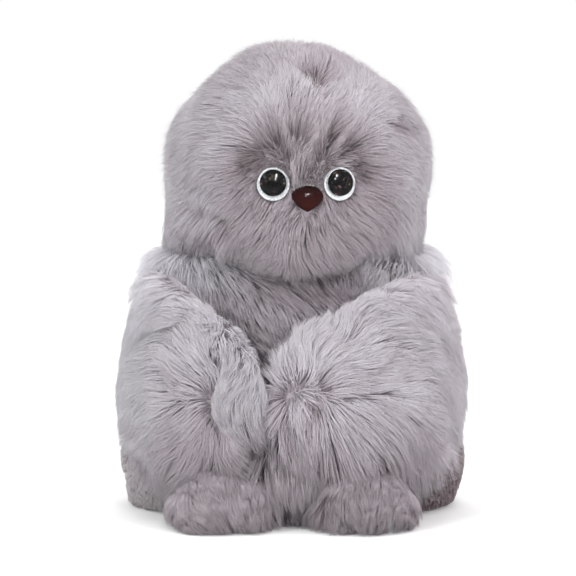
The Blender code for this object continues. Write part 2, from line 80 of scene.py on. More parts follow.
def softbox(name, place, width, power, colour, mirrored=False):
    """A round lamp that faces the owl. A mirrored one is seen in the polished parts only."""
    data = bpy.data.lights.new(name, "AREA")
    data.shape = "DISK"
    data.size = width
    data.energy = power
    data.color = colour
    lamp = bpy.data.objects.new(name, data)
    lamp.location = place
    lamp.visible_glossy = mirrored
    lamp.visible_diffuse = not mirrored
    if mirrored:
        lamp.light_linking.receiver_collection = polished_parts
    lamp.rotation_euler = (aim - Vector(place)).to_track_quat("-Z", "Y").to_euler()
    bpy.context.scene.collection.objects.link(lamp)


softbox("left_softbox", (-1.0, -0.9, 1.0), 1.0, 10.5, cool_light)
softbox("right_softbox", (1.1, -0.8, 0.7), 1.0, 7.5, warm_light)
softbox("top_softbox", (0.0, 0.3, 1.4), 1.1, 8, plain_light)
softbox("front_softbox", (0.14, -0.95, 0.8), 0.3, 3.3, plain_light)
# The two small bright spots on the eyes and the beak
softbox("catch_light", (0.16, -0.9, 0.85), 0.16, 34, plain_light, mirrored=True)
softbox("low_catch_light", (0.07, -1.2, 0.60), 0.12, 12, plain_light, mirrored=True)


def finish_of(name, **values):
    """A material whose own sockets hold the values that are the same all over."""
    made = bpy.data.materials.new(name)
    made.use_nodes = True
    shader = made.node_tree.nodes["Principled BSDF"]
    for socket, value in values.items():
        shader.inputs[socket.replace("_", " ")].default_value = value
    return made, made.node_tree, shader


def chain(tree, kind, settings=None, **inputs):
    """A shader node with its settings, whose inputs are linked or filled by name."""
    node = tree.nodes.new("ShaderNode" + kind)
    for key, value in (settings or {}).items():
        setattr(node, key, value)
    for key, value in inputs.items():
        socket = node.inputs[int(key[1:]) if key[1:].isdigit() else key.replace("_", " ")]
        if isinstance(value, bpy.types.NodeSocket):
            tree.links.new(value, socket)
        else:
            socket.default_value = value
    return node


def ranged(tree, value, settings=None, **ends):
    """The value moved from one range to another."""
    return chain(tree, "MapRange", settings, Value=value, **ends).outputs[0]


def combined(tree, operation, *values):
    """One number from several, each a bare number or another node's output."""
    inputs = {f"_{number}": value for number, value in enumerate(values)}
    return chain(tree, "Math", {"operation": operation}, **inputs).outputs[0]


room = bpy.data.worlds.new("white_room")
room.use_nodes = True
bpy.context.scene.world = room
tree = room.node_tree
ray = chain(tree, "LightPath").outputs
straight = combined(tree, "MAXIMUM", ray["Is Camera Ray"], ray["Is Transmission Ray"])
seen = combined(tree, "MAXIMUM", straight, ray["Is Glossy Ray"])
background = tree.nodes["Background"].inputs
background["Color"].default_value = (1, 1, 1, 1)
tree.links.new(ranged(tree, seen, To_Min=0.58, To_Max=1.0), background["Strength"])

paper, tree, shader = finish_of(
    "white_paper", Roughness=0.9, Base_Color=(0.9, 0.9, 0.9, 1), Emission_Color=(1, 1, 1, 1)
)
ray = chain(tree, "LightPath").outputs
spot = chain(tree, "NewGeometry").outputs["Position"]
out = chain(tree, "VectorMath", {"operation": "LENGTH"}, _0=spot).outputs["Value"]
fade = ranged(tree, out, From_Min=fade_start, From_Max=fade_end, To_Min=0.16, To_Max=0.7)
glow = combined(tree, "MULTIPLY", fade, ray["Is Camera Ray"])
tree.links.new(glow, shader.inputs["Emission Strength"])
bpy.ops.mesh.primitive_plane_add(size=paper_width, location=(0, 0, 0))
floor = bpy.context.object
floor.name = "paper_floor"
floor.data.materials.append(paper)

# Body: a bag of knitted backing cloth with long acrylic pile, stuffed to a pear shape. The pile
# is combed down over the back and the belly, and towards the cleft between the wings in front.
body_height = 147 * mm
body_half_width = 93 * mm
body_half_depth = 70 * mm
# Each row is a height, the half width, the front half depth and the back half depth
body_rows = np.array(
    [
        (0.000, 0.88, 0.84, 0.88),
        (0.035, 0.955, 0.93, 0.955),
        (0.180, 1.00, 1.00, 1.00),
        (0.310, 0.95, 1.02, 1.00),
        (0.520, 0.865, 0.98, 0.98),
        (0.710, 0.81, 0.84, 0.93),
        (0.870, 0.795, 0.69, 0.86),
        (0.935, 0.765, 0.62, 0.80),
        (1.000, 0.62, 0.49, 0.68),
    ]
) * (body_height, body_half_width, body_half_depth, body_half_depth)
skin_depth = 9.5 * mm
skin_floor = 3.6 * mm
seat_height = 47 * mm
seat_front = -65 * mm
seat_lean = 1.0
cleft_place = -12 * mm
cleft_spread = 60 * mm


def rows_at(rows, share):
    """The row at each share of the way through the table, on smooth curves."""
    place = np.clip(share, 0, 1) * (len(rows) - 1)
    low = np.minimum(place.astype(int), len(rows) - 2)
    part = (place - low)[..., None]
    before, start, end, after = (
        rows[np.clip(low + step, 0, len(rows) - 1)] for step in (-1, 0, 1, 2)
    )
    bend = 2 * before - 5 * start + 4 * end - after
    twist = 3 * (start - end) + after - before
    return start + part * (end - before + part * (bend + part * twist)) / 2


def unit(vectors):
    return vectors / np.maximum(np.linalg.norm(vectors, axis=-1, keepdims=True), 1e-12)


def ramp(values, start, end):
    """0 up to start, 1 from end on, and smooth between them."""
    share = np.clip((values - start) / (end - start), 0, 1)
    return share * share * (3 - 2 * share)


def fall(values, start, end):
    """1 up to start, 0 from end on, and smooth between them."""
    return 1 - ramp(values, start, end)


def outline_of(rows, around, up):
    """Points of an oval form. around is 0 in front and grows towards the owl's left."""
    height, width, front, back = rows_at(rows, up).T
    turn = 2 * np.pi * around
    depth = np.where(np.cos(turn) > 0, front, back)
    return np.stack([width * np.sin(turn), -depth * np.cos(turn), height], 1)


def fading(far, width):
    """1 at no distance, and fading away over the width."""
    return np.exp(-((far / width) ** 2))


def body_surface(around, up):
    return outline_of(body_rows, around, up)


def facing(surface, around, up):
    """Points of a surface, their outward normals, and the area that each share stands for."""
    step = 1e-3
    low, high = np.clip(up - step, 0, 1), np.clip(up + step, 0, 1)
    across = surface(around + step, up) - surface(around - step, up)
    along = (surface(around, high) - surface(around, low)) / (high - low)[:, None] * 2 * step
    normals = np.cross(across, along)
    points = surface(around, up)
    outward = np.sign(((points - points.mean(0)) * normals).sum()) or 1.0
    return points, unit(normals) * outward, np.linalg.norm(normals, axis=1)


def fasten(piece, body):
    """The piece moves with a body. Given several bodies and two spots, it is left where it
    stands, its place baked into its mesh.
    """
    if isinstance(body, str):
        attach(piece, body)
    else:
        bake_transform(piece)


def closed_form(rings, middles):
    """A form through rings of points, closed at both ends towards their middles."""
    form = bmesh.new()
    rings = [[form.verts.new(point) for point in ring] for ring in rings]
    columns = len(rings[0])
    for low, high in zip(rings, rings[1:]):
        for here in range(columns):
            after = (here + 1) % columns
            form.faces.new((low[here], low[after], high[after], high[here]))
    for edge, point in zip((rings[0], rings[-1]), middles):
        middle = form.verts.new(point)
        for here in range(columns):
            form.faces.new((edge[here], edge[(here + 1) % columns], middle))
    bmesh.ops.recalc_face_normals(form, faces=form.faces)
    return form


def mesh_of(name, form):
    mesh = bpy.data.meshes.new(name)
    form.to_mesh(mesh)
    form.free()
    return mesh


def piece_of(mesh, material):
    """A smooth piece of one material, with the mesh's name."""
    mesh.shade_smooth()
    mesh.materials.append(material)
    piece = bpy.data.objects.new(mesh.name, mesh)
    bpy.context.scene.collection.objects.link(piece)
    return piece


def cloth_form(
    name, surface, depth, body, material, fitted=None, span=(0, 1), rows=40, columns=64
):
    """The cloth under the pile: a closed form that lies depth inside a surface."""
    up = np.linspace(*span, rows)
    around = np.arange(columns) / columns
    grid_up, grid_around = (grid.ravel() for grid in np.meshgrid(up, around, indexing="ij"))
    points, normals, _ = facing(surface, grid_around, grid_up)
    inward = depth if np.isscalar(depth) else depth(points, normals)[:, None]
    points = points - normals * inward
    points = fitted(points) if fitted else points
    rings = points.reshape(rows, columns, 3)
    form = closed_form(rings, (rings[0].mean(0), rings[-1].mean(0)))
    piece = piece_of(mesh_of(name, form), material)
    fasten(piece, body)
    return piece


wave_count = 7


def waves(points, length, seed):
    """A smooth random vector at each point, about 1 long, that changes over the length."""
    draw = np.random.default_rng(seed)
    total = np.zeros_like(points)
    for _ in range(wave_count):
        pull = unit(draw.normal(size=3)) * 2 * np.pi / length * draw.uniform(0.5, 1.3)
        total += draw.normal(size=3) * np.sin(points @ pull + draw.uniform(0, 2 * np.pi))[:, None]
    return total / math.sqrt(wave_count)


def along_cloth(vectors, normals):
    return unit(vectors - (vectors * normals).sum(1, keepdims=True) * normals)


# Tufts are tried at steps of these shares, which spread them evenly, several for each one kept
around_step = 0.7548776662466927
up_step = 0.5698402909980532
tries_each = 6


def tufted(surface, count, wanted=None):
    """Evenly spread points of a surface and their normals, thinned by wanted(points, normals)."""
    tries = tries_each * count
    around = np.arange(tries) * around_step % 1
    up = np.arange(tries) * up_step % 1
    points, normals, area = facing(surface, around, up)
    weight = area * (wanted(points, normals) if wanted else 1)
    kept = np.random.default_rng(count).random(tries) < weight / weight.sum() * count
    return points[kept], normals[kept]


def nearest(points, centres, batch=4000):
    """The number of the nearest centre to each point, found in batches to spare memory."""
    sizes = (centres**2).sum(1)
    found = [
        (sizes - 2 * points[start : start + batch] @ centres.T).argmin(1)
        for start in range(0, len(points), batch)
    ]
    return np.concatenate(found)


def kept_off_table(gap, front=-1.0):
    """Lifts points to a gap over the table, and holds them behind a front limit."""
    return lambda points: np.maximum(points, (-1.0, front, gap))


long_shares = (0.0, 0.38, 0.74, 1.0)
long_taper = (0.8, 1.0, 0.7)
loose_share = 0.07
# The pile changes its height, its way and its bow over these lengths
swell_length = 18 * mm
sweep_length = 34 * mm
flick_length = 12 * mm
bow_length = 22 * mm
# A strand has 16 triangles, and a piece of pile stays under 200,000
most_strands = 11000


def strand_paths(roots, normals, flow, height, reach, droop, bow, shares):
    """The points of each strand: it rises from the cloth, lies over along the flow and bows."""
    share = np.array(shares)[None, :, None]
    rise = 1.6 * share - 0.6 * share**2
    paths = roots[:, None] + normals[:, None] * height[:, None, None] * rise
    paths = paths + flow[:, None] * reach[:, None, None] * share**1.35
    sideways = np.cross(flow, normals)[:, None]
    paths = paths + sideways * (bow * reach)[:, None, None] * (share - share**2.5)
    paths[:, :, 2] -= droop[:, None] * share[:, :, 0] ** 2
    return paths


def strand_rings(draw, paths, normals, thickness, taper, loose):
    """The points of strands of three sides round their paths, each closed in a point."""
    heading = unit(np.gradient(paths, axis=1))
    side = unit(np.cross(heading, normals[:, None]))
    over = np.cross(side, heading)
    count = len(paths)
    thick = thickness * draw.uniform(0.75, 1.25, count) * np.where(loose, 0.7, 1.0) / 2
    thick = thick[:, None, None] * np.array(taper)[None, :, None]
    rings = []
    for corner in range(3):
        turn = 2 * math.pi * corner / 3 + math.pi / 2
        offset = side * math.cos(turn) + over * math.sin(turn) * 0.7
        rings.append(paths[:, :-1] + offset[:, :-1] * thick)
    return np.concatenate([np.stack(rings, 2).reshape(count, -1, 3), paths[:, -1:]], 1)


def strand_faces(levels):
    """The corners of one strand's faces in a row, and how many corners each face has."""
    top = 3 * levels - 3
    sides = [
        (low + corner, low + (corner + 1) % 3, low + 3 + (corner + 1) % 3, low + 3 + corner)
        for low in range(0, top, 3)
        for corner in range(3)
    ]
    ends = [(2, 1, 0)] + [(top + corner, top + (corner + 1) % 3, top + 3) for corner in range(3)]
    return np.concatenate([np.ravel(sides), np.ravel(ends)]), [4] * len(sides) + [3] * len(ends)


def strand_mesh(name, points, strand_map, levels):
    """A mesh of strands. Their map says the shade of each strand and the way up to its tip."""
    pattern, sizes = strand_faces(levels)
    strands, each = points.shape[:2]
    loops = (np.arange(strands)[:, None] * each + pattern).ravel()
    counts = np.tile(sizes, strands)
    mesh = bpy.data.meshes.new(name)
    mesh.vertices.add(strands * each)
    mesh.vertices.foreach_set("co", points.astype(np.float32).ravel())
    mesh.loops.add(len(loops))
    mesh.loops.foreach_set("vertex_index", loops.astype(np.int32))
    mesh.polygons.add(len(counts))
    starts = np.concatenate([[0], np.cumsum(counts)[:-1]])
    mesh.polygons.foreach_set("loop_start", starts.astype(np.int32))
    layer = mesh.uv_layers.new(name="OFBake")
    corner_map = strand_map.reshape(-1, 2)[loops]
    layer.uv.foreach_set("vector", corner_map.astype(np.float32).ravel())
    mesh.update()
    return mesh


def lay_pile(
    name, body, material, roots, normals, flow, height, reach, tone, seed,
    thickness=0.32 * mm, lock_strands=15, gather=0.36, tuft=0.2, stray=0.07, wild=0.11,
    droop=2 * mm, shares=long_shares, taper=long_taper, kept=None,
):
    """Pile gathered into locks, as closed strands of three sides, in pieces of one size.

    height and reach say how far a strand's tip stands off the cloth and lies along it, gather how
    much strands are drawn into their own lock, and tuft how much into the broad tuft round it.
    """
    draw = np.random.default_rng(seed)
    count = len(roots)
    height, reach, tone, gather, tuft, droop, wild = (
        np.broadcast_to(value, count)
        for value in (height, reach, tone, gather, tuft, droop, wild)
    )
    loose = draw.random(count) < loose_share
    swell = waves(roots, swell_length, seed + 3)
    height = height * draw.uniform(0.86, 1.06, count) * (1 + 0.10 * swell[:, 0])
    height = height * np.where(loose, 1.22, 1.0)
    reach = reach * draw.uniform(0.82, 1.12, count) * (1 + 0.10 * swell[:, 1])

    sweep, flick = waves(roots, sweep_length, seed + 1), waves(roots, flick_length, seed + 2)
    bent = along_cloth(flow, normals) + wild[:, None] * (1.6 * sweep + flick)
    bow = 0.5 * waves(roots, bow_length, seed + 4)[:, 0]
    own_flow = along_cloth(bent + draw.normal(size=(count, 3)) * stray, normals)
    own_bow = bow + draw.normal(size=count) * 0.15
    paths = strand_paths(roots, normals, own_flow, height, reach, droop, own_bow, shares)
    share = np.array(shares)[None, :, None]
    held = draw.uniform(0.65, 1.15, count) * np.where(loose, 0.3, 1.0)
    shade = tone + draw.normal(size=count) * 0.045
    # Strands lie in locks, and the locks lean together in broad tufts
    for strands, part, astray, uneven, mottle in (
        (lock_strands, gather, 0.7, 0.12, 0.03), (7 * lock_strands, tuft, 0.6, 0.10, 0.03)
    ):
        locks = max(8, int(count / strands))
        middles = draw.choice(count, locks, replace=False)
        lock = nearest(roots, roots[middles])
        lead = along_cloth(
            bent[middles] + draw.normal(size=(locks, 3)) * wild[middles, None] * astray,
            normals[middles],
        )
        led = strand_paths(
            roots[middles], normals[middles], lead,
            height[middles] * draw.uniform(1 - uneven, 1 + uneven, locks),
            reach[middles] * draw.uniform(1 - uneven, 1 + uneven, locks),
            droop[middles], bow[middles] + draw.normal(size=locks) * 0.25, shares,
        )[lock]
        pull = np.minimum(part * held, 0.95)[:, None, None] * share**1.2
        paths = paths + (led - paths) * pull
        shade = shade + draw.normal(size=locks)[lock] * mottle
    if kept:
        paths = kept(paths.reshape(-1, 3)).reshape(paths.shape)

    points = strand_rings(draw, paths, normals, thickness, taper, loose)
    levels = len(taper)
    shade = np.clip(shade, 0.03, 0.97)
    lean = np.tile((-0.008, 0.0, 0.008), levels)
    map_u = np.concatenate([shade[:, None] + lean, shade[:, None]], 1)
    map_v = np.append(np.repeat(shares[:-1], 3), 1.0) * 0.96 + 0.02
    strand_map = np.stack([map_u, np.broadcast_to(map_v, map_u.shape)], 2)

    # Each piece is a sector of the pile, made of whole tufts
    parts = math.ceil(count / most_strands)
    sector = np.arctan2(roots[middles, 0], -roots[middles, 1]).argsort().argsort()
    part = (sector[lock] * parts / locks).astype(int)
    for number in range(parts):
        own = part == number
        mesh = strand_mesh(f"{name}_{number + 1}", points[own], strand_map[own], levels)
        piece = piece_of(mesh, material)
        fasten(piece, body)


def mixed(tree, share, low, high, blend="MIX"):
    """A colour from low to high, as the share goes from 0 to 1."""
    settings = {"data_type": "RGBA", "blend_type": blend}
    return chain(tree, "Mix", settings, _0=share, _6=low, _7=high).outputs[2]


def pile_finish(name, root, shades, tip):
    """Acrylic pile: each strand has a tone of its own, painted darker at the root, as the shade
    deep in the pile, and paler at the tip.

    root is what a strand's shade is multiplied by at its root. shades are the darkest, the palest
    and then those between, each with its share of the way.
    """
    made, tree, shader = finish_of(
        name, Roughness=0.6, Specular_IOR_Level=0.2, Sheen_Weight=0.4, Sheen_Roughness=0.5
    )
    strand = chain(tree, "UVMap", {"uv_map": "OFBake"})
    split = chain(tree, "SeparateXYZ", Vector=strand.outputs["UV"]).outputs
    range_of = chain(tree, "ValToRGB", Fac=split["X"])
    stops = range_of.color_ramp.elements
    for number, (place, colour) in enumerate(shades):
        stop = stops[number] if number < 2 else stops.new(place)
        stop.position = place
        stop.color = (*colour, 1)
    # Painted shade: each strand's colour darkens towards its root, as deep in the pile
    at_root = ranged(
        tree, split["Y"], {"interpolation_type": "SMOOTHSTEP"},
        From_Min=0.0, From_Max=0.5, To_Min=1.0, To_Max=0.0,
    )
    rooted = mixed(tree, at_root, range_of.outputs["Color"], (*root, 1), "MULTIPLY")
    to_tip = ranged(tree, split["Y"], From_Min=0.55, From_Max=1.0, To_Max=0.28)
    tipped = mixed(tree, to_tip, rooted, (*tip, 1))
    tree.links.new(tipped, shader.inputs["Base Color"])
    return made


grey_pile = pile_finish(
    "grey_pile",
    root=(0.77, 0.715, 0.745),
    shades=[
        (0.0, (0.17, 0.12, 0.135)),
        (1.0, (0.90, 0.89, 0.94)),
        (0.35, (0.53, 0.46, 0.505)),
        (0.65, (0.71, 0.665, 0.72)),
    ],
    tip=(0.84, 0.81, 0.86),
)


def emboss(tree, shader, height, strength, relief):
    raised = chain(tree, "Bump", Height=height, Strength=strength, Distance=relief)
    tree.links.new(raised.outputs[0], shader.inputs["Normal"])


def mottle_and_sheen_finish(name, dark, light, blots, nap, strength, relief, **values):
    """A finish with blots from dark to light, and a nap that stands up by the relief. The blots
    are the cloth's own mottle, but on the short plush painted clouds of sheen.

    Blots and nap are each a kind of texture and its settings.
    """
    made, tree, shader = finish_of(name, **values)
    place = chain(tree, "TexCoord").outputs["Object"]
    shade, height = (
        chain(tree, kind, Vector=place, **settings).outputs["Fac"]
        for kind, settings in (blots, nap)
    )
    tree.links.new(mixed(tree, shade, (*dark, 1), (*light, 1)), shader.inputs["Base Color"])
    emboss(tree, shader, height, strength, relief)
    return made


# Brushed, with small knitted ribs
backing_cloth = mottle_and_sheen_finish(
    "backing_cloth", (0.38, 0.335, 0.365), (0.48, 0.44, 0.47),
    blots=("TexNoise", {"Scale": 90.0, "Detail": 3.0}),
    nap=("TexWave", {"Scale": 420.0, "Distortion": 2.0}),
    strength=0.4, relief=0.4 * mm, Roughness=0.95,
)


def over_panel(points):
    """The body's cloth and pile start above the base panel."""
    points[:, 2] = np.maximum(points[:, 2], skin_floor)
    return points


body_skin = cloth_form(
    "body_skin", body_surface, skin_depth, "body", backing_cloth, fitted=over_panel
)
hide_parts("body_cover")


def behind_seat_edge(points):
    """How far a point lies behind the leaning front edge of the seat."""
    return points[:, 1] - (seat_front + seat_lean * points[:, 2])


def long_pile_share(points, normals):
    """The long pile leaves out the seat and the neck, and is thinner under the wings."""
    below = ramp(seat_height - points[:, 2], -4 * mm, 1 * mm)
    seat = below * ramp(behind_seat_edge(points), -6 * mm, 0)
    under_head = ramp(points[:, 2], 143 * mm, 146 * mm)
    thinned = (1 - seat) * (1 - under_head) * (1 - 0.6 * under_wing(points))
    return thinned * (1 + between_feet(points))


def between_feet(points):
    """How far a place on the body lies in the gap between the feet."""
    middle = fall(np.abs(points[:, 0] - 2 * mm), 14 * mm, 24 * mm)
    return middle * fall(points[:, 2], 48 * mm, 60 * mm) * (points[:, 1] < 0)


def wing_top(angle):
    """The height of a wing's upper edge at each angle from the front, in degrees."""
    return (94 + 30 * ramp(angle, 8, 52)) * mm


def angle_from_front(points):
    """How far points lie round to a side, in degrees."""
    return np.degrees(np.arctan2(np.abs(points[:, 0]), -points[:, 1]))


def under_wing(points):
    """How far a place on the body is covered by a wing."""
    angle = angle_from_front(points)
    above = points[:, 2] - wing_top(angle)
    inside = ramp(points[:, 2], 42 * mm, 50 * mm) * fall(above, -9 * mm, 0)
    return inside * fall(angle, 86, 96)


tips, normals = tufted(body_surface, 40000, long_pile_share)
x, y, z = tips.T
roots = over_panel(tips - normals * skin_depth)
covered = under_wing(tips)
front = ramp(-y, 5 * mm, 35 * mm)
high = ramp(z, 75 * mm, 90 * mm)
from_cleft = (x - cleft_place) / cleft_spread
flow = np.stack([front * from_cleft * (0.55 - 1.3 * high), 0 * high, -np.ones(len(tips))], 1)
flow[:, 1] -= 0.5 * front * (1 - high)
# The belly's pile hangs over the feet, the shoulders' stands up to the head and falls over the
# wings, and the chest's is longer in the middle
belly = front * fall(z, 46 * mm, 56 * mm)
overhang = belly * ramp(z, 22 * mm, 36 * mm)
sideways = angle_from_front(tips)
shoulder = ramp(z, 98 * mm, 128 * mm) * ramp(sideways, 26, 62)
beside = fall(sideways, 84, 120)
# The long pile ends short along the seat
hem = ramp(behind_seat_edge(tips), -26 * mm, -10 * mm) * fall(z, 52 * mm, 64 * mm)
chest = front * ramp(z, 80 * mm, 95 * mm) * (1 - shoulder)
flow[:, 0] += 0.8 * chest
gap = between_feet(tips)
cleft = fading(z - wing_top(sideways), 8 * mm) * fall(sideways, 40, 60)
# At the sides and behind, the long pile ends in a ragged edge that hangs over the short plush
skirt = fall(z, 50 * mm, 66 * mm) * ramp(y, -10 * mm, 30 * mm)
# The shoulders' pile stands up round the head, more on the owl's left
top = ramp(z, 116 * mm, 130 * mm) * ramp(sideways, 40, 62) * fall(sideways, 115, 140)
shoulder_rise = top * (3.0 + 2.0 * ramp(x, -10 * mm, 30 * mm))
throat = front * ramp(z, 112 * mm, 126 * mm) * fall(sideways, 24, 38)
height = 11 - 6.5 * covered + 8 * overhang + 2 * chest + shoulder_rise - 3 * hem + 10 * gap
reach = 15 - 6 * covered + 4 * overhang + 4 * shoulder - 4 * hem - 2 * gap
reach = reach + skirt * (8 + 3.5 * waves(tips, 16 * mm, 5)[:, 0])
# Painted light and shade in the tone: paler on the shoulders below the head, as painted light
# against the head's shade, and darker on the belly under the wings, in the cleft above them, a
# little on the chest, between the feet and at the throat under the chin, as painted shade
tone = 0.56 - 0.02 * chest + 0.31 * shoulder * beside - 0.11 * belly - 0.25 * cleft
lay_pile(
    "body_pile", "body", grey_pile, roots, normals, flow,
    height=height * mm, reach=reach * mm, tone=tone - 0.16 * gap - 0.24 * throat, seed=10,
    droop=(3 + 3 * overhang + 3 * shoulder + 3 * skirt) * mm,
    gather=0.36 + 0.1 * belly - 0.16 * top, tuft=0.2 + 0.2 * belly + 0.25 * skirt - 0.12 * top,
    kept=kept_off_table(0.4 * mm),
)

# Seat: the sides and back of the base, of short smooth plush. It is sewn on below the long pile,
# and the weight of the pellets pulls it into a few creases at the lower corners.
seat_inset = 2.5 * mm
seat_tuck = 7.5 * mm
seat_top_share = 0.37
crease_depth = 1.6 * mm
crease_count = 16
crease_middle = (45 * mm, -12 * mm)
plush_shares = (0.0, 0.6, 1.0)
plush_taper = (1.0, 0.8)


def seat_surface(around, up):
    return body_surface(around, up * seat_top_share)


def seat_creases(points):
    """Creases that fan out from the base at the corners, deeper on the owl's right."""
    fan = np.arctan2(points[:, 2] - crease_middle[1], np.abs(points[:, 0]) - crease_middle[0])
    low = fall(points[:, 2], 8 * mm, 38 * mm)
    corner = ramp(-points[:, 1], -30 * mm, 10 * mm) * low
    sided = np.where(points[:, 0] < 0, 1.0, 0.3)
    bent = fan * crease_count + 0.8 * np.sin(points[:, 0] * 90)
    return corner * sided * crease_depth * np.sin(bent) ** 3


def seat_depth(points, normals):
    """How deep the plush lies: deeper ahead of its front edge, where the long pile covers it."""
    ahead = ramp(-behind_seat_edge(points), -6 * mm, 3 * mm)
    return seat_inset + seat_tuck * ahead + seat_creases(points)


# A fine nap with a soft sheen, and painted light and dark clouds, as the sheen changes where the
# pile lies another way
short_plush = mottle_and_sheen_finish(
    "short_plush", (0.34, 0.30, 0.32), (0.50, 0.46, 0.48),
    blots=("TexNoise", {"Scale": 38.0, "Detail": 4.0}),
    nap=("TexNoise", {"Scale": 900.0, "Detail": 2.0}),
    strength=0.6, relief=0.6 * mm, Roughness=0.8, Sheen_Weight=0.35, Sheen_Roughness=0.4,
)
seat_skin = cloth_form(
    "seat_skin", seat_surface, seat_depth, "body", short_plush, columns=160, rows=36
)
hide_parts("seat_cover")

plush_pile = pile_finish(
    "plush_pile",
    root=(0.70, 0.64, 0.66),
    shades=[
        (0.0, (0.20, 0.135, 0.15)),
        (1.0, (0.80, 0.78, 0.80)),
        (0.5, (0.52, 0.455, 0.475)),
    ],
    tip=(0.64, 0.60, 0.62),
)
tips, normals = tufted(
    seat_surface, 20000, lambda points, _: ramp(behind_seat_edge(points), -7 * mm, -2 * mm)
)
roots = tips - normals * seat_depth(tips, normals)[:, None]
flow = np.tile((0.0, 0.3, -1.0), (len(tips), 1))
# The seat is painted darker on the owl's left, and darkest at that corner, as the shade on that
# side
corner = ramp(tips[:, 0], 30 * mm, 66 * mm) * ramp(-tips[:, 1], -10 * mm, 20 * mm)
lay_pile(
    "seat_plush", "body", plush_pile, roots, normals, flow,
    height=1.9 * mm, reach=2.8 * mm,
    tone=0.74 - 0.2 * ramp(tips[:, 0], 0, 60 * mm) - 0.52 * corner, seed=20,
    thickness=0.4 * mm, lock_strands=9, gather=0.35, droop=0.0,
    shares=plush_shares, taper=plush_taper, kept=kept_off_table(0.2 * mm),
)

# Base: one oval of short plush, sewn to the seat all round with its seam turned in. The pellets
# press it flat on the table, and the seam allowance makes a soft roll along its edge.
base_margin = 6 * mm
base_thickness = 3 * mm
base_columns = 96
pucker_depth = 0.5 * mm
pucker_count = 34

turn = np.arange(base_columns) * 2 * np.pi / base_columns
base_front = np.where(np.cos(turn) > 0, body_rows[0, 2], body_rows[0, 3])
rim_x = (body_rows[0, 1] - base_margin) * np.sin(turn)
rim_y = -(base_front - base_margin) * np.cos(turn)
# Each ring is a share of the rim's reach, a height, and how much the seam puckers it
base_rings = [
    (0.30, 0.0, 0), (0.60, 0.0, 0), (0.86, 0.0, 0), (0.95, 0.06 * mm, 1),
    (0.985, 0.7 * mm, 1), (1.0, 1.6 * mm, 1), (0.985, 2.5 * mm, 0), (0.90, 3.0 * mm, 0),
    (0.5, 3.0 * mm, 0),
]
puckers = pucker_depth * (0.5 + 0.5 * np.sin(turn * pucker_count))
rings = [
    np.stack([rim_x * reach, rim_y * reach, height + puckered * puckers], 1)
    for reach, height, puckered in base_rings
]
form = closed_form(rings, ((0, 0, 0), (0, 0, base_thickness)))
base_cloth = piece_of(mesh_of("base_cloth", form), short_plush)
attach(base_cloth, "body")
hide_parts("base_panel")

# Neck: the stuffed throat that joins head and body through their openings, of the same backing
# cloth. A ruff of pile on it hides the fold when the head nods. Its rows read as the body's do.
neck_rows = np.array(
    [
        (131 * mm, 34 * mm, 25 * mm, 31 * mm),
        (138 * mm, 43 * mm, 31 * mm, 39 * mm),
        (147 * mm, 45 * mm, 35 * mm, 41 * mm),
        (155 * mm, 44 * mm, 37 * mm, 40 * mm),
        (162 * mm, 34 * mm, 30 * mm, 31 * mm),
    ]
)


def neck_surface(around, up):
    return outline_of(neck_rows, around, up)


neck_skin = cloth_form("neck_skin", neck_surface, 0.0, "neck", backing_cloth, rows=16)
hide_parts("neck_stuffing")
roots, normals = tufted(
    neck_surface, 7000, lambda points, _: ramp(points[:, 2], 134 * mm, 140 * mm)
)
flow = np.tile((0.0, 0.0, -1.0), (len(roots), 1)) + 0.6 * normals
# Its pile is painted dark, as the shade under the chin
lay_pile(
    "neck_pile", "neck", grey_pile, roots, normals, flow,
    height=15 * mm, reach=8 * mm, tone=0.34, seed=30,
)

# Head: a stuffed ball of the same cloth, turned a little to the owl's left. Its pile is combed
# away from the beak over the face, up over the forehead, out to the cheeks and down the back.
head_height = 103 * mm
head_half_width = 71 * mm
head_half_depth = 63 * mm
head_turn = math.radians(7)
head_lean = 3.5 * mm
chin_drop = 12 * mm
chin_reach = 0.30
chin_sharpness = 5
# Each row is a height over the body, then widths as in the body's rows
head_rows = np.array(
    [
        (0.000, 0.86, 1.00, 0.82),
        (0.030, 0.94, 1.05, 0.91),
        (0.085, 0.975, 1.07, 0.96),
        (0.200, 0.985, 1.05, 0.99),
        (0.380, 1.00, 1.00, 1.00),
        (0.560, 0.94, 0.92, 0.94),
        (0.720, 0.79, 0.77, 0.80),
        (0.850, 0.585, 0.57, 0.60),
        (0.940, 0.38, 0.37, 0.39),
        (0.985, 0.22, 0.21, 0.22),
        (1.000, 0.06, 0.06, 0.06),
    ]
) * (head_height, head_half_width, head_half_depth, head_half_depth)
turned = np.array(
    [
        (math.cos(head_turn), math.sin(head_turn), 0),
        (-math.sin(head_turn), math.cos(head_turn), 0),
        (0, 0, 1),
    ]
)
beak_front = -61 * mm
beak_height = 166.5 * mm
beak_skin_rise = 4.5 * mm
eye_radius = 8 * mm
eye_spread = 18.4 * mm
eye_front = -60 * mm
eye_height = 175.5 * mm
face_back = -20 * mm
beak_spot = np.array((0, beak_front, beak_height)) @ turned
eye_spots = [np.array((side * eye_spread, eye_front, eye_height)) @ turned for side in (1, -1)]


def head_surface(around, up):
    """Points of the head's outline, with the chin hanging in front, turned as it stands."""
    points = outline_of(head_rows, around, up)
    height = points[:, 2].copy()
    points[:, 0] += head_lean * np.sin(np.pi * height / head_height)
    points[:, 2] += body_height
    forward = np.maximum(-points[:, 1], 0) / np.hypot(points[:, 0], points[:, 1])
    fade = np.maximum(0, 1 - height / head_height / chin_reach)
    points[:, 2] -= chin_drop * forward**chin_sharpness * fade**2
    return points @ turned


def off(points, spot):
    """How far points lie from a spot, seen from in front."""
    return np.hypot(points[:, 0] - spot[0], points[:, 2] - spot[2])


def in_front(points):
    return points[:, 1] < face_back


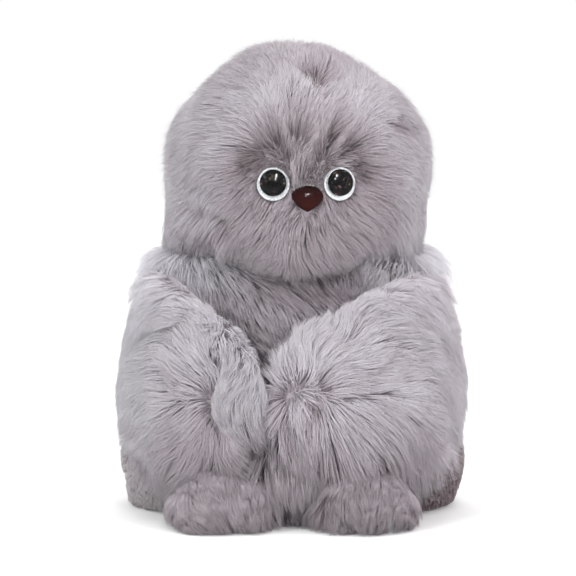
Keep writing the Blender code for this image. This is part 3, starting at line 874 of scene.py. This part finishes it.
def head_depth(points, normals):
    """How deep the cloth lies under the pile, less round the beak, where the pile is short."""
    at_beak = fading(off(points, beak_spot), 10 * mm) * in_front(points)
    return skin_depth - beak_skin_rise * at_beak


head_skin = cloth_form("head_skin", head_surface, head_depth, "head", backing_cloth)
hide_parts("head_cover", "face_panel")


def clear_of_eyes(points, normals):
    """Where the head has pile: not under the eyes, nor under the beak, which narrows down."""
    across = np.abs(points[:, 0] - beak_spot[0])
    down = beak_spot[2] - points[:, 2]
    clear = (across > (6.5 * mm - 0.8 * np.maximum(down, 0))) | (down < -5.5 * mm)
    for spot in eye_spots:
        clear &= off(points, spot) > eye_radius + 0.3 * mm
    return np.where(in_front(points), clear, True).astype(float)


# Places where the pile parts, where its strands are painted darker as the shade in the parting.
# Each is a line from one spot to another in millimetres, seen from in front, then its width, how
# flat the pile lies there and how much darker it is painted, and how much it is combed away
face_partings = [
    ((-23, 187), (-14, 191), 4.5, 1.0, 0.3),
    ((-14, 191), (-5, 187), 4.5, 0.9, 0.3),
    ((-10, 197), (-7, 191), 3.0, 0.6, 0.5),
    ((11, 174), (16, 186), 4.0, 1.0, 0.2),
    ((31, 188), (37, 182), 4.0, 0.8, 0.3),
    ((22, 189), (31, 194), 3.0, 0.6, 0.4),
    ((3, 192), (2, 197), 2.5, 0.6, 0.5),
    ((17, 190), (20, 199), 2.5, 0.6, 0.5),
    ((14, 226), (13, 232), 3.0, 0.8, 0.6),
    ((50, 208), (59, 204), 3.0, 0.6, 0.3),
    ((-54, 156), (-40, 152), 4.0, 0.9, 0.5),
    ((-52, 169), (-46, 165), 2.2, 0.7, 0.2),
    ((-34, 162), (-31, 159), 2.2, 0.6, 0.2),
    ((52, 136), (54, 131), 3.0, 0.8, 0.2),
]


def parted(points, flow, partings):
    """How strongly the pile is parted at each point, and the flow combed away from there."""
    strength = np.zeros(len(points))
    flow = flow.copy()
    spots = points[:, (0, 2)]
    for start, end, width, depth, spread in partings:
        start, end = np.array(start) * mm, np.array(end) * mm
        line = end - start
        share = np.clip((spots - start) @ line / (line @ line), 0, 1)
        away = spots - (start + share[:, None] * line)
        far = np.linalg.norm(away, axis=1)
        here = fading(far, width * mm) * in_front(points)
        strength = np.maximum(strength, depth * here)
        nearby = fading(far, 2.5 * width * mm) * in_front(points)
        flow[:, (0, 2)] += spread * (nearby / np.maximum(far, 1e-6))[:, None] * away
    return strength, flow


tips, normals = tufted(head_surface, 76000, clear_of_eyes)
x, y, z = tips.T
roots = tips - normals * head_depth(tips, normals)[:, None]
side = np.abs(x - beak_spot[0])
source = np.tile(beak_spot, (len(tips), 1))
source[:, 2] += np.minimum(0.9 * np.maximum(side - 6 * mm, 0), 44 * mm)
away = unit(tips - source)
back = ramp(y, -25 * mm, 35 * mm)[:, None]
nape = fall(z, 150 * mm, 164 * mm) * ramp(y, -42 * mm, -20 * mm)
downward = np.maximum(0.12 + 0.85 * back, 0.9 * nape[:, None])
flow = away * (1 - 0.75 * back) + np.array((0, 0.1, -1.0)) * downward
for spot in eye_spots:
    out = unit((tips - spot) * (1, 0, 1))
    close = fall(off(tips, spot), 9 * mm, 17 * mm) * in_front(tips)
    heading = (flow * out).sum(1)
    flow += out * (close * (np.maximum(-heading, 0) + 0.35))[:, None]
strength, flow = parted(tips, flow, face_partings)
# Strands that would hang over a parting stop short of it, so its painted shade shows
cut, _ = parted(tips + along_cloth(flow, normals) * 14 * mm, flow, face_partings)
from_beak = off(tips, beak_spot)
from_eye = np.minimum(*(off(tips, spot) for spot in eye_spots)) - eye_radius
face = fall(from_beak, 34 * mm, 52 * mm) * in_front(tips)
from_beak_edge = from_beak - np.where(z > beak_spot[2], 3.5, 7) * mm
near = ramp(np.minimum(from_eye, from_beak_edge), 0, 11 * mm)
near = np.where(in_front(tips), near, 1.0)
crown = ramp(z, 215 * mm, 240 * mm)
jowl = fall(z, 152 * mm, 170 * mm) * (1 - face)
# Over the shoulders the pile is longest, and lies down on them
sideways = angle_from_front(tips)
beside = ramp(sideways, 36, 58) * fall(sideways, 112, 135) * fall(z, 150 * mm, 168 * mm)
height = (5.0 + 4.0 * near - 1.6 * crown + 1.0 * jowl - 1.5 * nape) * mm * (1 - 0.6 * strength)
reach = (5.0 + 10.0 * near + 7.0 * jowl + 5.0 * nape + 4.0 * beside) * mm * (1 - 0.5 * strength)
reach = reach * (1 - 0.6 * cut)
# Painted light and shade in the tone: darker in the partings and on the crown, as painted shade,
# and paler on the head's lower sides over the shoulders, as painted light against the shade
# there; the face is a darker tone
lay_pile(
    "head_pile", "head", grey_pile, roots, normals, flow,
    height=height, reach=reach,
    tone=0.60 - 0.29 * face - 0.42 * strength - 0.18 * crown + 0.16 * beside, seed=40,
    droop=(2 + 3 * jowl + 3 * nape + 2 * beside) * mm, gather=0.27 + 0.10 * face - 0.08 * beside,
    tuft=0.16 + 0.1 * nape,
)

# Eyes: safety eyes of clear moulded plastic. A black pupil, moulded with its post, lies under the
# dome, and a loose disc of silver glitter foil round it shows most below, where it has sagged.
lens_finish, tree, shader = finish_of(
    "clear_lens", Base_Color=(1, 1, 1, 1), Roughness=0.06, Transmission_Weight=1.0, IOR=1.1,
    Coat_Roughness=0.1, Coat_IOR=1.22,
)
# Only the outer face of the plastic mirrors the room
inner_face = chain(tree, "NewGeometry").outputs["Backfacing"]
tree.links.new(combined(tree, "SUBTRACT", 1.0, inner_face), shader.inputs["Coat Weight"])


def flakes_of(tree, scale):
    """The colour of small flat flakes, and that colour's parts."""
    place = chain(tree, "TexCoord").outputs["Object"]
    colour = chain(tree, "TexVoronoi", Vector=place, Scale=scale).outputs["Color"]
    return colour, chain(tree, "SeparateXYZ", Vector=colour).outputs


def pupil_material():
    """Black plastic with a few tiny coloured flakes in it."""
    made, tree, shader = finish_of("black_pupil", Roughness=0.5, Specular_IOR_Level=0.0)
    cells, split = flakes_of(tree, 1700.0)
    rare = ranged(tree, split["X"], From_Min=0.955, From_Max=0.97)
    dimmed = mixed(tree, 0.88, cells, (0.02, 0.03, 0.035, 1))
    speckled = mixed(tree, rare, (0.0015, 0.0015, 0.002, 1), dimmed)
    tree.links.new(speckled, shader.inputs["Base Color"])
    return made


def foil_material():
    """Silver glitter foil: small flat flakes, each tilted its own way, and painted paler and
    darker, as the glints they catch.
    """
    made, tree, shader = finish_of("glitter_foil", Metallic=0.5, Roughness=0.35)
    _, split = flakes_of(tree, 1500.0)
    # Painted glints: the flakes' silver runs from darker to paler
    foil = mixed(tree, split["X"], (0.62, 0.66, 0.70, 1), (0.96, 0.97, 0.98, 1))
    tree.links.new(foil, shader.inputs["Base Color"])
    emboss(tree, shader, split["Y"], 0.5, 0.3 * mm)
    return made


def dress(node, material):
    """A node of the CAD model that shows as it is gets a better material."""
    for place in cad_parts[node].material_slots:
        place.material = material


sharp_edge = math.radians(40)
flat_edge = math.radians(0.4)


def polished(node, name, material):
    """A moulded part in place of its faceted solid, rounded but for its sharp edges."""
    form = bmesh.new()
    form.from_mesh(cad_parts[node].data)
    bmesh.ops.remove_doubles(form, verts=form.verts, dist=0.001 * mm)
    bmesh.ops.dissolve_limit(form, angle_limit=flat_edge, verts=form.verts, edges=form.edges)
    bmesh.ops.recalc_face_normals(form, faces=form.faces)
    crease = form.edges.layers.float.new("crease_edge")
    for edge in form.edges:
        edge[crease] = float(edge.calc_face_angle(0) > sharp_edge)
    piece = piece_of(mesh_of(name, form), material)
    rounding = piece.modifiers.new("rounding", "SUBSURF")
    rounding.levels = rounding.render_levels = 2
    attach(piece, "head")
    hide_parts(node)
    polished_parts.objects.link(piece)


black_pupil, glitter_foil = pupil_material(), foil_material()
for side in ("left", "right"):
    polished(side + "_eye_lens", side + "_eye_dome", lens_finish)
    dress(side + "_eye_pupil", black_pupil)
    dress(side + "_eye_iris", glitter_foil)

# Beak: amber-brown plastic, moulded solid and polished, held like the eyes by a post and a
# washer. It is painted lighter towards the bottom, as the glow of light through the thinner
# plastic, with a swirl in it.
beak_top = 173 * mm
beak_bottom = 160 * mm


def amber_material():
    made, tree, shader = finish_of("amber_beak", Roughness=0.2, Specular_IOR_Level=0.04)
    place = chain(tree, "TexCoord").outputs["Object"]
    height = chain(tree, "SeparateXYZ", Vector=place).outputs["Z"]
    low = ranged(tree, height, From_Min=beak_top, From_Max=beak_bottom)
    swirl = chain(tree, "TexNoise", Vector=place, Scale=260.0, Detail=2.0).outputs["Fac"]
    # Painted glow: the amber is lighter towards the bottom, as where light shines through
    glow_and_swirl = combined(tree, "MULTIPLY_ADD", swirl, 0.35, low)
    amber = mixed(tree, glow_and_swirl, (0.010, 0.004, 0.004, 1), (0.042, 0.011, 0.010, 1))
    tree.links.new(amber, shader.inputs["Base Color"])
    return made


polished("beak", "beak_moulding", amber_material())

# Wings: flat stuffed lobes of the same pile, sewn to the body along a sloping seam at the side.
# They come round the belly and meet in front, and their pile fans out from their tips.
wing_root = math.radians(97)
wing_tips = {"left": math.radians(-7), "right": math.radians(9.5)}
owl_sides = {"left": 1, "right": -1}
wing_half_chord = 46 * mm
wing_half_thickness = 14 * mm
wing_fullness = 3.2
wing_skin_depth = 6.5 * mm
wing_inner_depth = 1.5 * mm
wing_gap = 1.5 * mm
pile_gap = 0.5 * mm
wing_pile_front = -106.3 * mm
spine_steps = 60
lip_lean = {"left": 0.4, "right": 1.2}
# Two spots by the seam, given with the wing's bodies
bend_start = (80 * mm, 10 * mm, 87 * mm)
bend_end = (80 * mm, -24 * mm, 87 * mm)
# Each row is the height on the body, the half chord, the half thickness and the lift off the body
wing_rows = np.array(
    [
        (0.590, 0.86, 0.80, 0.06),
        (0.590, 0.95, 0.87, 0.12),
        (0.575, 0.97, 0.95, 0.34),
        (0.540, 0.89, 1.00, 0.50),
        (0.490, 0.76, 1.00, 0.60),
        (0.450, 0.64, 0.95, 0.62),
    ]
) * (body_height, wing_half_chord, wing_half_thickness, 1)
fine_body = rows_at(body_rows, np.linspace(0, 1, 400))


def body_at(height):
    """The body's half width, front and back half depths at each height."""
    return [np.interp(height, fine_body[:, 0], fine_body[:, column]) for column in (1, 2, 3)]


def belly_point(side, angle, height):
    """Points of the body at angles from the front, on the owl's left where side is 1."""
    width, front, back = body_at(height)
    depth = np.where(np.cos(angle) > 0, front, back)
    return np.stack([side * width * np.sin(angle), -depth * np.cos(angle), height], 1)


def off_belly(points, gap):
    """Points that would be inside the body, moved out to lie the gap off it."""
    width, front, back = body_at(points[:, 2])
    depth = np.where(points[:, 1] < 0, front, back)
    reach = np.hypot(points[:, 0] / width, points[:, 1] / depth)
    least = 1 + gap / np.minimum(width, depth)
    grow = np.maximum(least / np.maximum(reach, 1e-6), 1)
    return points * np.stack([grow, grow, np.ones(len(points))], 1)


def wing_spine(name, share):
    """The wing's middle line and its own directions: up, along to the tip and outwards."""
    side, tip = owl_sides[name], wing_tips[name]
    height, chord, thick, lift = rows_at(wing_rows, share).T
    angle = wing_root + (tip - wing_root) * share
    step = 0.02
    here = belly_point(side, angle, height)
    rise = step * body_height
    up = unit(belly_point(side, angle, height + rise) - belly_point(side, angle, height - rise))
    along = unit(belly_point(side, angle - step, height) - here)
    out = unit(np.cross(up, along)) * side
    return here + out * (thick * lift)[:, None], up, along, out, chord, thick


def lobe(up_share, fullness):
    """How far along a lobe each share lies, and how full the lobe is there."""
    share = (1 - np.cos(np.pi * up_share)) / 2
    return share, (1 - np.abs(2 * share - 1) ** fullness) ** (1 / fullness)


def wing_surface_of(name):
    def surface(around, up_share):
        share, size = lobe(up_share, wing_fullness)
        centre, up, _, out, chord, thick = wing_spine(name, share)
        turn = 2 * np.pi * around
        across, over = chord * np.cos(turn) * size, thick * np.sin(turn) * size
        return centre + up * across[:, None] + out * over[:, None]

    return surface


# The line that the pile fans out from, in millimetres, seen from in front
fan_lines = {"left": ((-14, 47), (-4, 60)), "right": ((-43, 62), (-35, 57))}
wing_partings = {
    "left": [
        ((12, 74), (15, 71), 2.6, 0.7, 0.4),
        ((9, 69), (11, 66), 2.4, 0.7, 0.4),
        ((45, 95), (33, 78), 3.0, 0.5, 0.0),
    ],
    "right": [
        ((-41, 50), (-34, 42), 3.6, 0.8, 0.4),
        ((-22, 57), (-17, 54), 3.0, 0.9, 0.5),
        ((-60, 78), (-55, 70), 2.6, 0.5, 0.1),
    ],
}


def combed(flow, share, heading):
    """The flow turned towards a heading by a share of the way."""
    return flow * (1 - share[:, None]) + heading * share[:, None]


def outwards(points, normals):
    """1 where the cloth faces straight away from the owl, and -1 where it faces the belly."""
    return (normals * unit(points * (1, 1, 0))).sum(1)


for name, side in owl_sides.items():
    surface = wing_surface_of(name)

    def inward(points, normals):
        """The pile is long outside and short against the belly."""
        outer = ramp(outwards(points, normals), -0.5, 0.3)
        return wing_inner_depth + (wing_skin_depth - wing_inner_depth) * outer

    at_seam = ("body", name + "_wing") + tuple(
        (side * spot[0], spot[1], spot[2]) for spot in (bend_start, bend_end)
    )
    wing_skin = cloth_form(
        name + "_wing_skin", surface, inward, at_seam, backing_cloth,
        fitted=lambda points: off_belly(points, wing_gap), span=(0.04, 0.97), rows=44, columns=48,
    )
    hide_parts(name + "_wing_cover", name + "_wing_stuffing")

    tips, normals = tufted(surface, 33000)
    x, y, z = tips.T
    roots = off_belly(tips - normals * inward(tips, normals)[:, None], wing_gap)
    outer = ramp(outwards(tips, normals), -0.35, 0.25)
    spine = wing_spine(name, np.linspace(0, 1, spine_steps))
    at = nearest(tips, spine[0])
    up, along, out = (way[at] for way in spine[1:4])
    at_share = at / (spine_steps - 1)
    upward = (normals * up).sum(1)
    fan_start, fan_end = (np.array(spot) * mm for spot in fan_lines[name])
    fan_line = fan_end - fan_start
    from_start = tips[:, (0, 2)] - fan_start
    share = np.clip(from_start @ fan_line / (fan_line @ fan_line), 0, 1)
    ahead, rise = (from_start - share[:, None] * fan_line).T * ((side,), (1,))
    from_fan = np.hypot(ahead, rise)
    at_fan = fading(from_fan, 8 * mm)
    rise = rise - np.clip(rise, -4 * mm, 4 * mm)
    aside = np.abs(x)
    lip = ramp(upward, 0.2, 0.9) * fall(aside, 30 * mm, 50 * mm)
    flank = ramp(aside, 56 * mm, 76 * mm)
    lower = fall(z, 46 * mm, 70 * mm) * (1 - 0.8 * flank)
    # The left tip's upper corner is brushed up, and fills the notch where the wings meet
    corner = (name == "left") * ramp(at_share, 0.72, 0.9) * ramp(upward, -0.1, 0.4)
    under = ramp(at_share, 0.78, 0.93) * fall(upward, -0.3, 0.3)
    turn_back = np.where(y > -45 * mm, 1.0, ahead / (40 * mm))
    flow = unit(-along * turn_back[:, None] + up * (rise / (40 * mm))[:, None])
    # The cuff over the right tip is combed down
    cuff = ramp(x, -44 * mm, -34 * mm) * ramp(z, 62 * mm, 70 * mm)
    cuff = (name == "right") * cuff
    flow = combed(flow, cuff, -1.3 * up)
    hanging = lower * (1 - 0.6 * ramp(y, -40 * mm, -15 * mm))
    flow = combed(flow, hanging, 0.45 * flow - 1.1 * up)
    flow = combed(flow, corner, up)
    flow = combed(flow, under, 0.1 * along - up)
    flow = flow * (1 - 0.7 * flank[:, None]) - (0.3 * along + 0.6 * up) * flank[:, None]
    # Along the upper edge the pile lies over outwards, and at the shoulder it falls to the side
    flow += out * (lip * lip_lean[name])[:, None]
    shoulder = ramp(z, 92 * mm, 118 * mm) * ramp(aside, 30 * mm, 60 * mm)
    flow = combed(flow, shoulder, -0.4 * along - up)
    strength, flow = parted(tips, flow, wing_partings[name])
    height = np.minimum(1.5 + (6.5 - flank + 5.5 * lower) * outer + 4 * lip + 3 * corner, 12.5)
    height = height * mm * (1 - 0.5 * strength) * (1 - 0.25 * at_fan)
    # Painted light and shade in the tone: darker in the partings, low down and round the place
    # the pile fans out from, as painted shade, and paler on the owl's right flank and darker on
    # its left, as painted light and shade; the cuff is a little paler
    tone = 0.69 - 0.36 * strength - 0.33 * lower + (0.03 - 0.08 * side) * flank + 0.08 * cuff
    in_limits = kept_off_table(0.3 * mm, wing_pile_front)
    lay_pile(
        name + "_wing_pile", at_seam, grey_pile, roots, normals, flow,
        height=height,
        reach=(4 + (12 + 17 * lower) * outer + 7 * corner) * mm * (1 - 0.3 * strength),
        tone=tone - 0.14 * fading(from_fan, 16 * mm), seed=50 if side > 0 else 60,
        droop=(2.5 + 11 * lower) * mm * outer, gather=0.36 - 0.12 * flank,
        tuft=0.3 - 0.15 * flank, wild=0.16 + 0.2 * at_fan - 0.08 * flank - 0.08 * cuff,
        kept=lambda points: in_limits(off_belly(points, pile_gap)),
    )

# Feet: two short stuffed lobes of the same pile, flat underneath, sewn to the body in front just
# above the base. Their pile hangs down and forwards over the table.
foot_spread = 38 * mm
foot_half_width = 25 * mm
foot_height = 0.23 * body_height
foot_length = 46 * mm
foot_reach = 22 * mm
foot_fullness = 2.8
foot_skin_depth = 5 * mm
foot_floor = 1.2 * mm
foot_gap = 1.0 * mm
# Each row is a half width and half a height
foot_rows = np.array([(0.90, 0.98), (1.00, 1.00), (1.02, 0.90), (0.96, 0.72)]) * (
    foot_half_width, foot_height / 2
)

for name, side in owl_sides.items():

    def foot_surface(around, up_share):
        share, size = lobe(up_share, foot_fullness)
        width, rise = rows_at(foot_rows, share).T
        turn = 2 * np.pi * around
        heel = body_half_depth + foot_reach - foot_length
        across = side * foot_spread + width * np.cos(turn) * size
        up = np.maximum(rise + rise * np.sin(turn) * size, 0)
        return np.stack([across, -heel - share * foot_length, up], 1)

    def on_table(points):
        points[:, 2] = np.maximum(points[:, 2], foot_floor)
        return off_belly(points, foot_gap)

    foot_skin = cloth_form(
        name + "_foot_skin", foot_surface, foot_skin_depth, name + "_foot", backing_cloth,
        fitted=on_table, span=(0.03, 0.97), rows=28, columns=40,
    )
    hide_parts(name + "_foot_cover", name + "_foot_stuffing")

    def outside(points, normals):
        """A foot has pile where it is out of the body and doesn't face the table."""
        width, front, _ = body_at(points[:, 2])
        clear = np.hypot(points[:, 0] / width, points[:, 1] / front) > 1.0
        return (clear & (normals[:, 2] > -0.5)).astype(float)

    tips, normals = tufted(foot_surface, 9000, outside)
    roots = on_table(tips - normals * foot_skin_depth)
    outward = (tips[:, 0] - side * foot_spread) * side / foot_half_width
    flow = np.tile((0.0, -0.45, -1.0), (len(tips), 1))
    flow[:, 0] += side * (0.35 * np.minimum(outward, 0) - 0.25 * np.maximum(outward, 0))
    outer = ramp(outward, 0.3, 1.0)
    upper = ramp(tips[:, 2], 16 * mm, 30 * mm)
    flow[:, 1] -= upper
    # Painted shade and light in the tone: the feet's pile is painted darker than the body's, as
    # the shade low down, and a little paler on top, as painted light
    lay_pile(
        name + "_foot_pile", name + "_foot", grey_pile, roots, normals, flow,
        height=(9 - 4 * outer - 3 * upper) * mm, reach=(17 - 4 * outer) * mm,
        tone=0.22 - 0.02 * side + 0.06 * outer + 0.10 * upper, seed=70 if side > 0 else 80,
        droop=4 * mm, gather=0.42, tuft=0.5 - 0.1 * upper, lock_strands=18,
        wild=0.18 - 0.04 * upper, kept=kept_off_table(0.3 * mm),
    )

# Inside: loose white fibrefill, a cotton pouch of pellets in the base, and the white washers that
# lock the eyes' and the beak's posts. None of it shows from outside.
def inner_finish(name, dark, light, scale, relief, roughness):
    """A finish whose blots are also what stands up."""
    grain = ("TexNoise", {"Scale": scale, "Detail": 4.0})
    return mottle_and_sheen_finish(name, dark, light, grain, grain, 0.5, relief, Roughness=roughness)


fibrefill = inner_finish("fibrefill", (0.74, 0.73, 0.71), (0.9, 0.89, 0.87), 160, 2 * mm, 0.95)
pouch_cotton = inner_finish(
    "pouch_cotton", (0.62, 0.57, 0.48), (0.78, 0.73, 0.63), 500, 0.4 * mm, 0.85
)
washer_plastic = inner_finish(
    "washer_plastic", (0.74, 0.74, 0.72), (0.82, 0.82, 0.8), 220, 0.1 * mm, 0.4
)
for node in ("body_stuffing", "head_stuffing"):
    dress(node, fibrefill)
for side in ("left", "right"):
    dress(side + "_eye_washer", washer_plastic)
dress("beak_washer", washer_plastic)
dress("bean_pouch", pouch_cotton)
